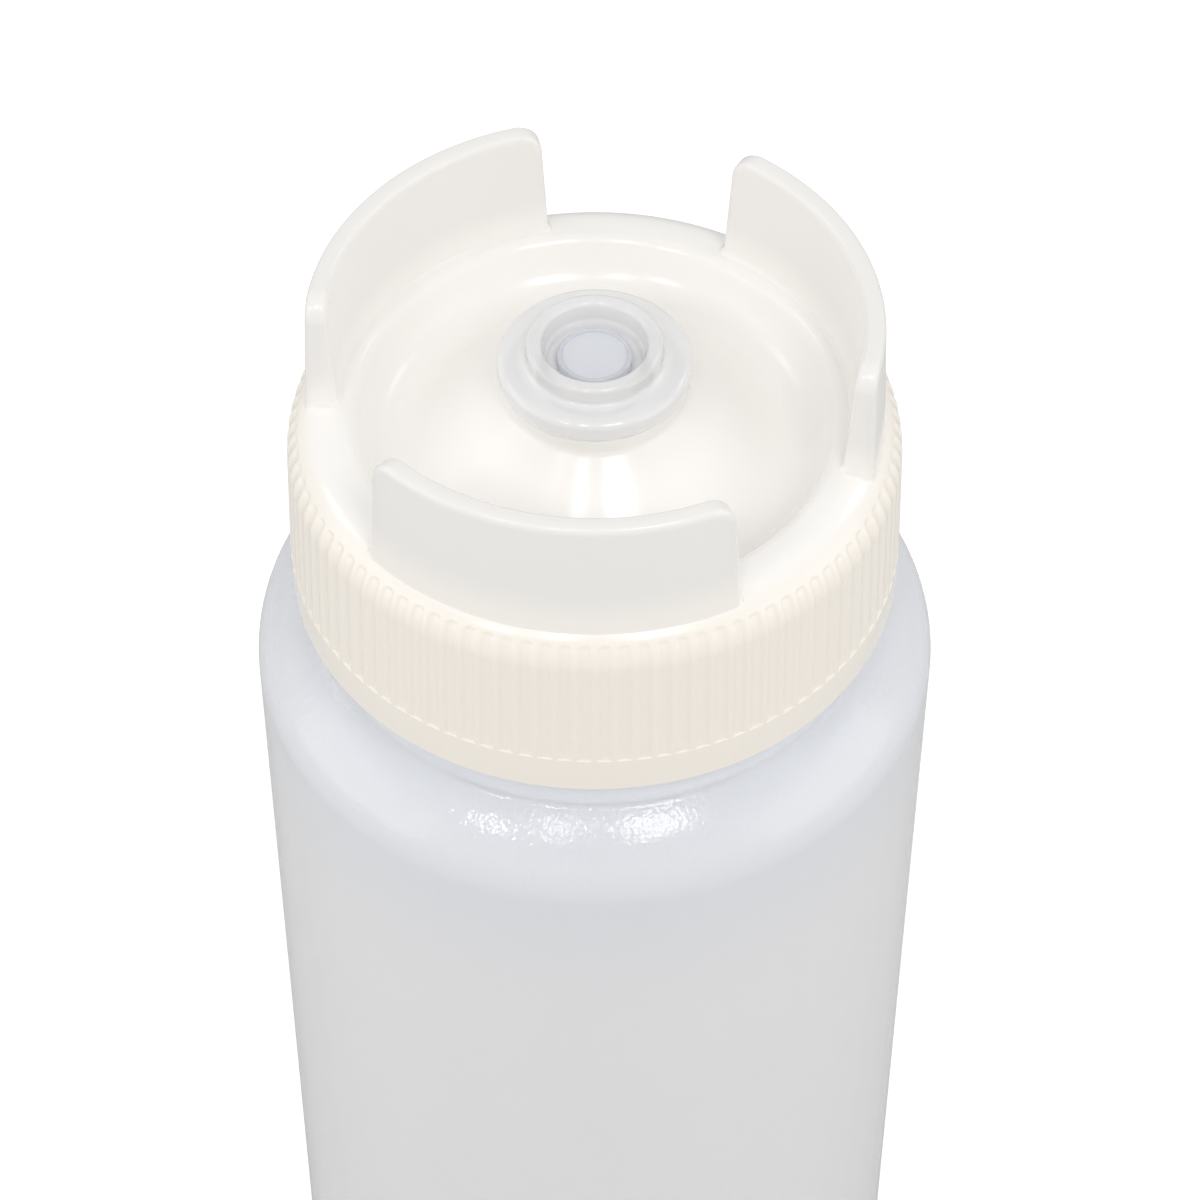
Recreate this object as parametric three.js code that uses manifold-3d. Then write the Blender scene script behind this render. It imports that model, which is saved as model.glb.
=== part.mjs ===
// A squeeze bottle with a wide screw cap that dispenses upside down through a soft valve.
// Millimetres, +Z up, origin at the middle of the base that the bottle stands on.
// Seen from the front, the viewer looks along +Y.

import * as THREE from 'three';
import { mergeVertices } from 'three/addons/utils/BufferGeometryUtils.js';
import Module from 'manifold-3d';

const wasm = await Module();
wasm.setup();

// Well in the top of the cap, the dish that the valve stands in
const wellRadius = 26.0;
const wellWall = 1.6;
const wellDraft = 2.8;
const wellEdgeRadius = 1.8;
const troughRadius = 4.0;
const coneAngle = THREE.MathUtils.degToRad( 38 );
const coneRise = 3.3;
const coneWall = 1.6;

// Neck of the bottle and the thread on it
const plugClearance = 0.8;
const neckWall = 1.4;
const neckHeight = 21.5;
const threadDepth = 1.1;
const threadPitch = 4.233;
const threadTurns = 1.5;
const threadCrestWidth = 1.0;
const threadRootWidth = 2.2;
const threadTopDrop = 4.7;
const threadClearance = 0.4;
const threadFlankClearance = 0.35;
const threadRoot = 0.5;
const threadFadeShare = 0.06;

// Cap skirt, deck and flutes
const skirtWall = 2.16;
const skirtGap = 1.0;
const skirtDraft = 0.59;
const bandHeight = 4.9;
const bandEdgeRadius = 0.4;
const deckThickness = 1.8;
const capShoulderRadius = 5.0;
const capInnerCornerRadius = 2.0;
const fluteCount = 100;
const fluteDepth = 0.25;
const fluteDraft = 1.0;
const fluteWidthShare = 0.86;
const fluteFloorShare = 0.3;

// Standing tabs on the cap
const tabCount = 3;
const firstTabAngle = THREE.MathUtils.degToRad( - 100 );
const tabSetback = 1.4;
const tabHeight = 13.9;
const tabLean = 0.7;
const tabBaseThickness = 3.6;
const tabTopThickness = 2.2;
const tabBaseLength = 40.4;
const tabTopLength = 38.8;
const tabEdgeRadius = 0.6;
const tabCornerRadius = 2.8;

// Boss on the cone, with the hole that the valve is pushed through
const bossRadius = 9.9;
const bossHeight = 1.9;
const bossEdgeRadius = 0.4;
const bossPlate = 2.0;
const bossPocketClearance = 0.4;
const bossPocketDepth = 1.5;

// Soft valve, a grommet with a slit disc in its mouth
const valveWaistRadius = 6.2;
const valveWaistClearance = 0.3;
const valveFlangeRadius = 10.3;
const valveFlangeThickness = 2.7;
const valveEdgeRadius = 0.8;
const valveCollarRadius = 7.25;
const valveCollarHeight = 2.1;
const valveCollarEdgeRadius = 0.6;
const valveMouthRadius = 5.7;
const valveMouthDepth = 3.1;
const valveMouthFloorRadius = 5.0;
const valveLedgeRadius = 3.2;
const valveLedgeThickness = 0.8;
const valveBoreRadius = 4.5;
const valveTailRadius = 8.5;
const valveTailThickness = 1.3;
const valveTailClearance = 0.3;
const petalCount = 4;
const petalRimInset = 1.05;
const petalRimHeight = 1.25;
const petalRimWidth = 0.5;
const petalCentreHeight = 0.8;
const petalRimEdgeRadius = 0.2;
const slitGap = 0.2;

// Sealing ring between the lip of the bottle and the cap
const gasketThickness = 1.2;
const gasketWidth = 1.1;
const gasketEdgeRadius = 0.3;

// Body of the bottle
const neckCollarStep = 1.4;
const neckCollarHeight = 4.2;
const neckCollarEdgeRadius = 0.6;
const shoulderWidth = 6.9;
const lowShoulderRadius = 7.5;
const shoulderBreakAngle = THREE.MathUtils.degToRad( 38.3 );
const shoulderEndAngle = THREE.MathUtils.degToRad( 63.7 );
const bodyStraightHeight = 160.5;
const bodyWall = 0.9;
const baseWall = 1.4;
const baseEdgeRadius = 5.0;
const pushUpHeight = 3.0;
const pushUpSlopeWidth = 3.5;
const standingRingWidth = 5.0;

// Steps of the faceted solids, and the overrun of a cut past the face that it leaves
const bottleSegments = 48;
const capSegments = 50;
const tabSegments = 100;
const valveSegments = 32;
const gasketSegments = 36;
const arcSag = 0.1;
const threadStepsPerTurn = 24;
const cutOverrun = 0.2;
const mergeShare = 1e-6;
const leastTurn = THREE.MathUtils.degToRad( 0.01 );

// Radii that follow from the sizes above, from the well outwards
const plugRadius = wellRadius + wellWall;
const neckBoreRadius = plugRadius + plugClearance;
const neckRadius = neckBoreRadius + neckWall;
const threadRadius = neckRadius + threadDepth;
const skirtBoreRadius = threadRadius + threadClearance;
const bandRadius = skirtBoreRadius + skirtWall;
const skirtTopRadius = bandRadius - skirtDraft;
const neckCollarRadius = neckRadius + neckCollarStep;
const bodyRadius = neckCollarRadius + shoulderWidth;

// The shoulder is two arcs: a tight one off the body, and a wider one up to the neck
const lowShoulder = new THREE.Vector2( bodyRadius - lowShoulderRadius, bodyStraightHeight );
const shoulderBreak = polar( lowShoulder, lowShoulderRadius, shoulderBreakAngle );
const highShoulderRun = Math.cos( shoulderBreakAngle ) - Math.cos( shoulderEndAngle );
const highShoulderRadius = ( shoulderBreak.x - neckCollarRadius ) / highShoulderRun;
const highShoulder = polar( shoulderBreak, - highShoulderRadius, shoulderBreakAngle );

// Heights that follow, from the base upwards
const shoulderTop = highShoulder.y + highShoulderRadius * Math.sin( shoulderEndAngle );
const collarTop = shoulderTop + neckCollarHeight;
const lipHeight = collarTop + neckHeight;
const skirtBottom = collarTop + skirtGap;
const bandTop = skirtBottom + bandHeight;
const deckUnderside = lipHeight + gasketThickness;
const deckTop = deckUnderside + deckThickness;
const bossFoot = deckTop + coneRise;
const bossTop = bossFoot + bossHeight;
const bossUnderside = bossTop - bossPlate;
const bossHoleRadius = valveWaistRadius + valveWaistClearance;
const pocketRadius = valveTailRadius + bossPocketClearance;
const pocketMouth = bossUnderside - bossPocketDepth;
const threadRise = threadPitch * threadTurns;
const threadStart = lipHeight - threadTopDrop - threadRise;
const flankMeet = ( threadCrestWidth + threadWidthAt( threadClearance ) ) / 2;
const capThreadStart = threadStart - flankMeet - threadFlankClearance;

// Heights in the valve, from the top of the boss that its flange lies on
const flangeTop = bossTop + valveFlangeThickness;
const valveCollarTop = flangeTop + valveCollarHeight;
const ledgeTop = valveCollarTop - valveMouthDepth;
const ledgeUnderside = ledgeTop - valveLedgeThickness;
const tailTop = bossUnderside - valveTailClearance;
const tailBottom = tailTop - valveTailThickness;
const petalRadius = valveMouthFloorRadius - petalRimInset;

// Point at an angle and a distance from a centre, in the plane of radius and height.
function polar( centre, distance, angle ) {

	return new THREE.Vector2( distance * Math.cos( angle ), distance * Math.sin( angle ) ).add( centre );

}

// Width of the thread's section at a distance out from its root.
function threadWidthAt( depth ) {

	return threadRootWidth + ( threadCrestWidth - threadRootWidth ) * depth / threadDepth;

}

// Points along an arc, both ends included, close enough for the chords to sag no more than arcSag.
function arcPoints( centre, radius, from, to ) {

	const step = 2 * Math.acos( 1 - Math.min( 1, arcSag / radius ) );
	const steps = Math.max( 1, Math.round( Math.abs( to - from ) / step ) );
	const points = [];
	for ( let i = 0; i <= steps; i ++ ) {

		const angle = from + ( to - from ) * i / steps;
		points.push( polar( centre, radius, angle ) );

	}

	return points;

}

// Closed outline from corners, each [ x, y ] or [ x, y, corner radius ]. A corner radius becomes an arc
// that touches both sides, and is limited by half of the shorter side.
function roundedOutline( corners ) {

	const places = corners.map( ( [ x, y ] ) => new THREE.Vector2( x, y ) );
	return corners.flatMap( ( [ , , cornerRadius = 0 ], i ) => {

		const here = places[ i ];
		const back = places.at( i - 1 ).clone().sub( here );
		const ahead = places[ ( i + 1 ) % places.length ].clone().sub( here );
		const half = Math.abs( Math.PI - back.angleTo( ahead ) ) / 2;
		const room = Math.min( back.length(), ahead.length() ) / 2;
		const radius = Math.min( cornerRadius, room / Math.tan( half ) );
		if ( radius <= 0 || half < leastTurn ) return [ here ];
		const bisector = back.clone().normalize().add( ahead.clone().normalize() ).normalize();
		const centre = here.clone().addScaledVector( bisector, radius / Math.cos( half ) );
		const start = here.clone().addScaledVector( back.normalize(), radius * Math.tan( half ) ).sub( centre );
		const end = here.clone().addScaledVector( ahead.normalize(), radius * Math.tan( half ) ).sub( centre );
		const turn = Math.atan2( start.cross( end ), start.dot( end ) );
		return arcPoints( centre, radius, start.angle(), start.angle() + turn );

	} );

}

// Solid from a closed geometry: shared corners are merged, and faces shrunk to a line are dropped.
function solidOf( geometry ) {

	geometry.deleteAttribute( 'normal' );
	geometry.deleteAttribute( 'uv' );
	const merged = mergeVertices( geometry, mergeShare * bodyRadius );
	const index = merged.index.array;
	const faces = [];
	for ( let i = 0; i < index.length; i += 3 ) {

		const [ a, b, c ] = index.slice( i, i + 3 );
		if ( a !== b && b !== c && c !== a ) faces.push( a, b, c );

	}

	const vertProperties = new Float32Array( merged.attributes.position.array );
	const triVerts = new Uint32Array( faces );
	return new wasm.Manifold( new wasm.Mesh( { numProp: 3, vertProperties, triVerts } ) );

}

// Solid of revolution about the Z axis. The outline runs anticlockwise in the plane of radius and
// height, and closes on itself.
function turned( corners, segments ) {

	const outline = roundedOutline( corners );
	outline.push( outline[ 0 ].clone() );
	return solidOf( new THREE.LatheGeometry( outline, segments ).rotateX( Math.PI / 2 ) );

}

// Flat outline raised along Z between two heights.
function raised( shapes, bottom, top ) {

	const depth = top - bottom;
	return new THREE.ExtrudeGeometry( shapes, { depth, bevelEnabled: false } ).translate( 0, 0, bottom );

}

// Moves every corner of a geometry, whose place is passed in as a vector.
function reshaped( geometry, move ) {

	const position = geometry.attributes.position;
	const corner = new THREE.Vector3();
	for ( let i = 0; i < position.count; i ++ ) {

		corner.fromBufferAttribute( position, i );
		move( corner );
		position.setXYZ( i, corner.x, corner.y, corner.z );

	}

	return geometry;

}

// Screw thread wound about the Z axis: a straight bar of the thread's section is bent into a helix,
// and fades towards its root at both ends. The sign is + 1 on a neck and - 1 inside a cap.
function thread( rootRadius, sign, start ) {

	const buried = - sign * threadRoot;
	const section = new THREE.Shape( [
		new THREE.Vector2( buried, - threadRootWidth / 2 ),
		new THREE.Vector2( 0, - threadRootWidth / 2 ),
		new THREE.Vector2( sign * threadDepth, - threadCrestWidth / 2 ),
		new THREE.Vector2( sign * threadDepth, threadCrestWidth / 2 ),
		new THREE.Vector2( 0, threadRootWidth / 2 ),
		new THREE.Vector2( buried, threadRootWidth / 2 )
	] );
	const steps = Math.ceil( threadTurns * threadStepsPerTurn );
	const bar = new THREE.ExtrudeGeometry( section, { depth: 1, steps, bevelEnabled: false } );
	return solidOf( reshaped( bar, ( corner ) => {

		const share = corner.z;
		const fade = Math.min( 1, share / threadFadeShare, ( 1 - share ) / threadFadeShare );
		const proud = corner.x * sign > 0 ? corner.x * fade : corner.x;
		const angle = - share * threadTurns * 2 * Math.PI;
		const radius = rootRadius + proud;
		const height = start + threadRise * ( 1 - share ) + corner.y;
		corner.set( radius * Math.cos( angle ), radius * Math.sin( angle ), height );

	} ) );

}

// Corners along the shoulder's two arcs, from the body up to the neck, at a depth below the surface.
function shoulderCorners( depth ) {

	const low = arcPoints( lowShoulder, lowShoulderRadius - depth, 0, shoulderBreakAngle );
	const high = arcPoints( highShoulder, highShoulderRadius - depth, shoulderBreakAngle, shoulderEndAngle );
	return [ ...low, ...high.slice( 1 ) ].map( ( point ) => point.toArray() );

}

// Bottle: a thin blown shell with a base that is pushed up inside its standing ring.
function bottleBody() {

	const ringInner = bodyRadius - baseEdgeRadius - standingRingWidth;
	const outer = [
		[ 0, pushUpHeight ],
		[ ringInner - pushUpSlopeWidth, pushUpHeight ],
		[ ringInner, 0 ],
		[ bodyRadius, 0, baseEdgeRadius ],
		...shoulderCorners( 0 ),
		[ neckCollarRadius, collarTop, neckCollarEdgeRadius ],
		[ neckRadius, collarTop ],
		[ neckRadius, lipHeight ]
	];
	const inner = [
		[ neckBoreRadius, lipHeight ],
		[ neckBoreRadius, collarTop - neckWall ],
		[ neckCollarRadius - neckWall, collarTop - neckWall - neckCollarStep ],
		[ neckCollarRadius - neckWall, shoulderTop ],
		...shoulderCorners( bodyWall ).reverse(),
		[ bodyRadius - bodyWall, baseWall, baseEdgeRadius - bodyWall ],
		[ ringInner, baseWall ],
		[ ringInner - pushUpSlopeWidth, pushUpHeight + baseWall ],
		[ 0, pushUpHeight + baseWall ]
	];
	return turned( [ ...outer, ...inner ], bottleSegments ).add( thread( neckRadius, 1, threadStart ) );

}

// Cap: skirt, deck, well, cone and boss as one moulded shell of revolution.
function capShell() {

	const wellFloorRadius = wellRadius - wellDraft;
	const plugFootRadius = plugRadius - wellDraft;
	const coneTop = ( radius ) => bossFoot - ( radius - bossRadius ) * Math.tan( coneAngle );
	const coneUnder = ( radius ) => coneTop( radius ) - coneWall / Math.cos( coneAngle );
	return turned( [
		[ skirtBoreRadius, skirtBottom ],
		[ bandRadius, skirtBottom, bandEdgeRadius ],
		[ bandRadius, bandTop ],
		[ skirtTopRadius, deckTop, capShoulderRadius ],
		[ wellRadius, deckTop, wellEdgeRadius ],
		[ wellFloorRadius, coneTop( wellFloorRadius ), troughRadius ],
		[ bossRadius, bossFoot ],
		[ bossRadius, bossTop, bossEdgeRadius ],
		[ bossHoleRadius, bossTop ],
		[ bossHoleRadius, bossUnderside ],
		[ pocketRadius, bossUnderside ],
		[ pocketRadius, Math.min( pocketMouth, coneUnder( pocketRadius ) ) ],
		[ plugFootRadius, coneUnder( plugFootRadius ), troughRadius + coneWall ],
		[ plugRadius, deckUnderside ],
		[ skirtBoreRadius, deckUnderside, capInnerCornerRadius ]
	], capSegments );

}

// Grooves of the skirt: bars whose floors lean inwards towards the top, and that run out in the
// cap's shoulder.
function fluteCuts() {

	const pitch = 2 * Math.PI / fluteCount;
	const outerRadius = bandRadius + cutOverrun;
	const floorRadius = bandRadius - fluteDepth;
	const cornersOf = ( middle ) => [
		[ floorRadius, - fluteFloorShare ],
		[ outerRadius, - fluteWidthShare ],
		[ outerRadius, fluteWidthShare ],
		[ floorRadius, fluteFloorShare ]
	].map( ( [ radius, share ] ) => polar( new THREE.Vector2(), radius, middle + share * pitch / 2 ) );
	const shapes = [];
	for ( let i = 0; i < fluteCount; i ++ ) {

		const middle = pitch / 2 + i * pitch;
		shapes.push( new THREE.Shape( cornersOf( middle ) ) );

	}

	const bars = raised( shapes, bandTop, deckTop );
	return solidOf( reshaped( bars, ( corner ) => {

		const radius = Math.hypot( corner.x, corner.y );
		const depthShare = ( outerRadius - radius ) / ( outerRadius - floorRadius );
		const heightShare = ( corner.z - bandTop ) / ( deckTop - bandTop );
		const scale = 1 - fluteDraft * depthShare * heightShare / radius;
		corner.x *= scale;
		corner.y *= scale;

	} ) );

}

// Standing tab: a slice of a ring that leans outwards and thins towards its rounded top.
function tabRing() {

	const innerRadius = wellRadius + tabSetback;
	const top = deckTop + tabHeight;
	return turned( [
		[ innerRadius, deckUnderside ],
		[ innerRadius + tabBaseThickness, deckUnderside ],
		[ innerRadius + tabLean + tabTopThickness, top, tabEdgeRadius ],
		[ innerRadius + tabLean, top, tabEdgeRadius ]
	], tabSegments );

}

// Block that cuts one tab out of the ring. Its front is drawn flat, with lengths along the tab's
// arc, and its sides are then turned so that the tab's ends point at the bottle's axis.
function tabBlock( angle ) {

	const middleRadius = wellRadius + tabSetback + tabBaseThickness / 2;
	const front = new THREE.Shape( roundedOutline( [
		[ - tabBaseLength / 2, deckUnderside - cutOverrun ],
		[ tabBaseLength / 2, deckUnderside - cutOverrun ],
		[ tabTopLength / 2, deckTop + tabHeight, tabCornerRadius ],
		[ - tabTopLength / 2, deckTop + tabHeight, tabCornerRadius ]
	] ) );
	const block = raised( front, bossRadius, middleRadius + tabBaseThickness );
	return solidOf( reshaped( block, ( corner ) => {

		const across = corner.x / middleRadius;
		const radius = corner.z / Math.cos( across );
		corner.set( radius * Math.cos( angle + across ), radius * Math.sin( angle + across ), corner.y );

	} ) );

}

function dispensingCap() {

	let cap = capShell().subtract( fluteCuts() ).add( thread( skirtBoreRadius, - 1, capThreadStart ) );
	const ring = tabRing();
	for ( let i = 0; i < tabCount; i ++ ) {

		const angle = firstTabAngle + i * 2 * Math.PI / tabCount;
		cap = cap.add( ring.intersect( tabBlock( angle ) ) );

	}

	return cap;

}

function capGasket() {

	return turned( [
		[ neckBoreRadius, lipHeight, gasketEdgeRadius ],
		[ neckBoreRadius + gasketWidth, lipHeight, gasketEdgeRadius ],
		[ neckBoreRadius + gasketWidth, deckUnderside, gasketEdgeRadius ],
		[ neckBoreRadius, deckUnderside, gasketEdgeRadius ]
	], gasketSegments );

}

// Valve sleeve: flange on the boss, collar around the mouth, waist in the hole, and a tail flange
// below the boss. The slit disc lies on the ledge inside the mouth.
function valveSleeve() {

	return turned( [
		[ valveBoreRadius, tailBottom ],
		[ valveTailRadius, tailBottom, valveTailThickness / 2 ],
		[ valveTailRadius, tailTop ],
		[ valveWaistRadius, tailTop ],
		[ valveWaistRadius, bossTop ],
		[ valveFlangeRadius, bossTop, valveEdgeRadius ],
		[ valveFlangeRadius, flangeTop, valveEdgeRadius ],
		[ valveCollarRadius, flangeTop ],
		[ valveCollarRadius, valveCollarTop, valveCollarEdgeRadius ],
		[ valveMouthRadius, valveCollarTop, valveCollarEdgeRadius ],
		[ valveMouthFloorRadius, ledgeTop ],
		[ valveLedgeRadius, ledgeTop ],
		[ valveLedgeRadius, ledgeUnderside ],
		[ valveBoreRadius, ledgeUnderside ]
	], valveSegments );

}

// Quarter of the slit disc: dished in the middle, with a raised rim at its edge.
function valvePetal() {

	const disc = turned( [
		[ 0, ledgeTop ],
		[ petalRadius, ledgeTop ],
		[ petalRadius, ledgeTop + petalRimHeight, petalRimEdgeRadius ],
		[ petalRadius - petalRimWidth, ledgeTop + petalRimHeight, petalRimEdgeRadius ],
		[ 0, ledgeTop + petalCentreHeight ]
	], valveSegments );
	const side = 2 * petalRadius;
	const quarter = new THREE.BoxGeometry( side, side, side );
	quarter.translate( ( side + slitGap ) / 2, ( side + slitGap ) / 2, ledgeTop );
	return disc.intersect( solidOf( quarter ) );

}

const naturalPlastic = new THREE.MeshStandardMaterial( { color: '#dcdee1', roughness: 0.42, metalness: 0 } );
const ivoryPlastic = new THREE.MeshStandardMaterial( { color: '#f3efe6', roughness: 0.3, metalness: 0 } );
const sealRubber = new THREE.MeshStandardMaterial( { color: '#e4e3df', roughness: 0.7, metalness: 0 } );
const clearSilicone = new THREE.MeshStandardMaterial( { color: '#d9dde3', roughness: 0.25, metalness: 0 } );

const bottle = new THREE.Group();

// Adds a solid to the bottle as one named piece.
function place( name, solid, material ) {

	const { vertProperties, triVerts } = solid.getMesh();
	const geometry = new THREE.BufferGeometry();
	geometry.setAttribute( 'position', new THREE.BufferAttribute( vertProperties, 3 ) );
	geometry.setIndex( new THREE.BufferAttribute( triVerts, 1 ) );
	const piece = new THREE.Mesh( geometry, material );
	piece.name = name;
	bottle.add( piece );
	return piece;

}

place( 'bottle_body', bottleBody(), naturalPlastic );
place( 'cap_gasket', capGasket(), sealRubber );
place( 'dispensing_cap', dispensingCap(), ivoryPlastic );
place( 'valve_sleeve', valveSleeve(), clearSilicone );
for ( let i = 0; i < petalCount; i ++ ) {

	const petal = place( `valve_petal_${ i + 1 }`, valvePetal(), clearSilicone );
	petal.rotation.z = i * 2 * Math.PI / petalCount;

}

export default bottle;
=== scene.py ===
# %% [markdown]
# # A squeeze bottle that dispenses upside down
# The bottle is a blown, milky shell. Its wide screw cap has a dished top with a soft slit valve in the
# middle, and three tabs on which the closed bottle stands on its head. The packed model gives every
# body its place. This lesson dresses those bodies: smooth moulded meshes, a milky, an ivory and a clear
# plastic, and a plain bright studio.

import math

import bmesh
import bpy
from mathutils import Matrix, Vector


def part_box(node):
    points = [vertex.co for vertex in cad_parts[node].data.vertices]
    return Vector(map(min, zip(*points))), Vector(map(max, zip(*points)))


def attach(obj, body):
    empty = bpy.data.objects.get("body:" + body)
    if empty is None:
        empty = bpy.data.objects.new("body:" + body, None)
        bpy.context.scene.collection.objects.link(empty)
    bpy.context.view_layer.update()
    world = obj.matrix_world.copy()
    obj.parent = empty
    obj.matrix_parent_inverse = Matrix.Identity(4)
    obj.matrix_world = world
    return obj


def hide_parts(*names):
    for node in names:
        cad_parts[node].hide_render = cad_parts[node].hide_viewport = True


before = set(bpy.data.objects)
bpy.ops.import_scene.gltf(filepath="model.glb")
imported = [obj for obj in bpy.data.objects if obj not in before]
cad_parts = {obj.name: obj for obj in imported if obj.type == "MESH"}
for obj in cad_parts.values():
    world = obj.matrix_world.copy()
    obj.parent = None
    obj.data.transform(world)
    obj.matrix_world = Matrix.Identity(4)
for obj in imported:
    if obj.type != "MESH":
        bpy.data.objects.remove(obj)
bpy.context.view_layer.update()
MM = 0.001

# %% [markdown]
# ## Sizes
# The frame says where each piece is, so the heights are read from its boxes. What a box can't say, such
# as a wall, a rounding or a radius inside the outline, is a named size in millimetres.

# %% Heights and radii from the frame
_, body_high = (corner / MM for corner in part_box("bottle_body"))
cap_low, cap_high = (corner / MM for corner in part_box("dispensing_cap"))
valve_low, valve_high = (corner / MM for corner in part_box("valve_sleeve"))
gasket_low, gasket_high = (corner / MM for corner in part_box("cap_gasket"))
petal_low, _ = (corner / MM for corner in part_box("valve_petal_1"))

BODY_RADIUS = body_high.x
LIP = body_high.z
SKIRT_BOTTOM = cap_low.z
TAB_TOP = cap_high.z
DECK_UNDERSIDE = gasket_high.z
FLANGE_RADIUS = valve_high.x
COLLAR_TOP = valve_high.z
TAIL_BOTTOM = valve_low.z
LEDGE_TOP = petal_low.z
print(f"body radius {BODY_RADIUS:.2f} mm, lip at {LIP:.2f} mm, tabs up to {TAB_TOP:.2f} mm")

# %% Sizes of the neck, cap and well, in millimetres
TAB_HEIGHT = 13.9
WELL_RADIUS = 26.0
WELL_WALL = 1.6
WELL_DRAFT = 3.4
WELL_EDGE = 2.0
WELL_SWEEP = 0.75
TROUGH_ROUND = 4.0
CONE_SLOPE = math.radians(38)
CONE_RISE = 3.3
CONE_WALL = 1.6
PLUG_CLEARANCE = 0.8
NECK_WALL = 1.4
THREAD_DEPTH = 1.1
THREAD_CLEARANCE = 0.4
SKIRT_WALL = 2.16
SKIRT_DRAFT = 0.59
SKIRT_GAP = 1.0
BAND_HEIGHT = 4.9
BAND_EDGE = 0.4
CAP_SHOULDER = 5.0
CAP_INNER_CORNER = 2.0
BOSS_RADIUS = 9.9
BOSS_HEIGHT = 1.9
BOSS_EDGE = 0.4
BOSS_PLATE = 2.0
BOSS_HOLE = 6.5
POCKET_RADIUS = 8.9
POCKET_DEPTH = 1.5

DECK_TOP = TAB_TOP - TAB_HEIGHT
PLUG_RADIUS = WELL_RADIUS + WELL_WALL
NECK_BORE = PLUG_RADIUS + PLUG_CLEARANCE
NECK_RADIUS = NECK_BORE + NECK_WALL
SKIRT_BORE = NECK_RADIUS + THREAD_DEPTH + THREAD_CLEARANCE
BAND_RADIUS = SKIRT_BORE + SKIRT_WALL
BAND_TOP = SKIRT_BOTTOM + BAND_HEIGHT
NECK_FOOT = SKIRT_BOTTOM - SKIRT_GAP
BOSS_FOOT = DECK_TOP + CONE_RISE
BOSS_TOP = BOSS_FOOT + BOSS_HEIGHT
BOSS_UNDERSIDE = BOSS_TOP - BOSS_PLATE
print(f"band radius {BAND_RADIUS:.2f} mm, deck at {DECK_TOP:.2f} mm, boss top at {BOSS_TOP:.2f} mm")

# %% [markdown]
# ## Camera
# The photograph looks down on the cap. A camera is a pitch, a place and a lens, and here all three come
# from fitting circles of known radius to the outline. The long lens keeps the body's taper small.

# %% Camera at the photograph's angle
IMAGE_SIDE = 1200
FOCAL_PIXELS = 4012
AXIS_COLUMN = 594.7
CAMERA_PITCH = math.radians(49.12)
CAMERA_PLACE = Vector((0, -295.2, 507.8)) * MM
SENSOR = 36

camera_data = bpy.data.cameras.new("photo_camera")
camera_data.sensor_width = SENSOR
camera_data.lens = SENSOR * FOCAL_PIXELS / IMAGE_SIDE
camera_data.shift_x = (IMAGE_SIDE / 2 - AXIS_COLUMN) / IMAGE_SIDE
camera = bpy.data.objects.new("photo_camera", camera_data)
camera.location = CAMERA_PLACE
camera.rotation_euler = (math.pi / 2 - CAMERA_PITCH, 0, 0)
bpy.context.scene.collection.objects.link(camera)
bpy.context.scene.camera = camera
print(f"lens {camera_data.lens:.1f} mm, looking {math.degrees(CAMERA_PITCH):.1f} degrees down")

# %% [markdown]
# ## A way to write node trees
# Shader and geometry trees are sums over a surface. Linking Math nodes by hand hides the sum, so a
# small class wraps a socket and lets Python's own operators add the nodes. Every other node comes from
# one method.


# %% Wires
class Wire:
    """A node's output that can be used in sums: each operator adds the Math node that works it out."""

    def __init__(self, sketch, socket):
        self.sketch = sketch
        self.socket = socket

    def output(self, name):
        """Another output of the same node."""
        return Wire(self.sketch, self.socket.node.outputs[name])

    def __add__(self, other):
        return self.sketch.maths("ADD", self, other)

    def __radd__(self, other):
        return self.sketch.maths("ADD", other, self)

    def __sub__(self, other):
        return self.sketch.maths("SUBTRACT", self, other)

    def __rsub__(self, other):
        return self.sketch.maths("SUBTRACT", other, self)

    def __mul__(self, other):
        return self.sketch.maths("MULTIPLY", self, other)

    def __rmul__(self, other):
        return self.sketch.maths("MULTIPLY", other, self)

    def __truediv__(self, other):
        return self.sketch.maths("DIVIDE", self, other)

    def __gt__(self, other):
        return self.sketch.maths("GREATER_THAN", self, other)

    def __abs__(self):
        return self.sketch.maths("ABSOLUTE", self)


print("operators ready:", "+ - * / > abs")


# %% Sketches
class Sketch:
    """A node tree that is drawn up by calls."""

    def __init__(self, tree):
        self.tree = tree
        tree.nodes.clear()

    def add(self, kind, settings=(), sockets=(), output=0):
        """Adds a node of any kind: its settings first, then the values or wires of its sockets."""
        node = self.tree.nodes.new(kind)
        for name, value in dict(settings).items():
            setattr(node, name, value)
        for key, value in dict(sockets).items():
            if isinstance(value, Wire):
                self.tree.links.new(value.socket, node.inputs[key])
            else:
                node.inputs[key].default_value = value
        return Wire(self, node.outputs[output]) if node.outputs else node

    def maths(self, operation, *values):
        """A Math node on one, two or three numbers or wires."""
        return self.add("ShaderNodeMath", {"operation": operation}, dict(enumerate(values)))

    def clamp(self, value):
        return self.add("ShaderNodeClamp", {}, {"Value": value})

    def soft_step(self, value):
        """0 below 0, 1 above 1, and a smooth S between."""
        share = self.clamp(value)
        return share * share * (3 - 2 * share)


print("a sketch draws:", ", ".join(name for name in vars(Sketch) if not name.startswith("_")))

# %% [markdown]
# ## Geometry trees
# What repeats or winds is grown by Geometry Nodes: the grooves of the skirt, the screw threads and the
# three tabs. The helper makes a tree with named inputs, sets them on a modifier by their identifiers,
# and keeps the evaluated mesh, so that nothing live is left on the piece.


# %% Geometry tree helpers
SOCKETS = {float: "NodeSocketFloat", int: "NodeSocketInt", bpy.types.Material: "NodeSocketMaterial"}


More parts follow.
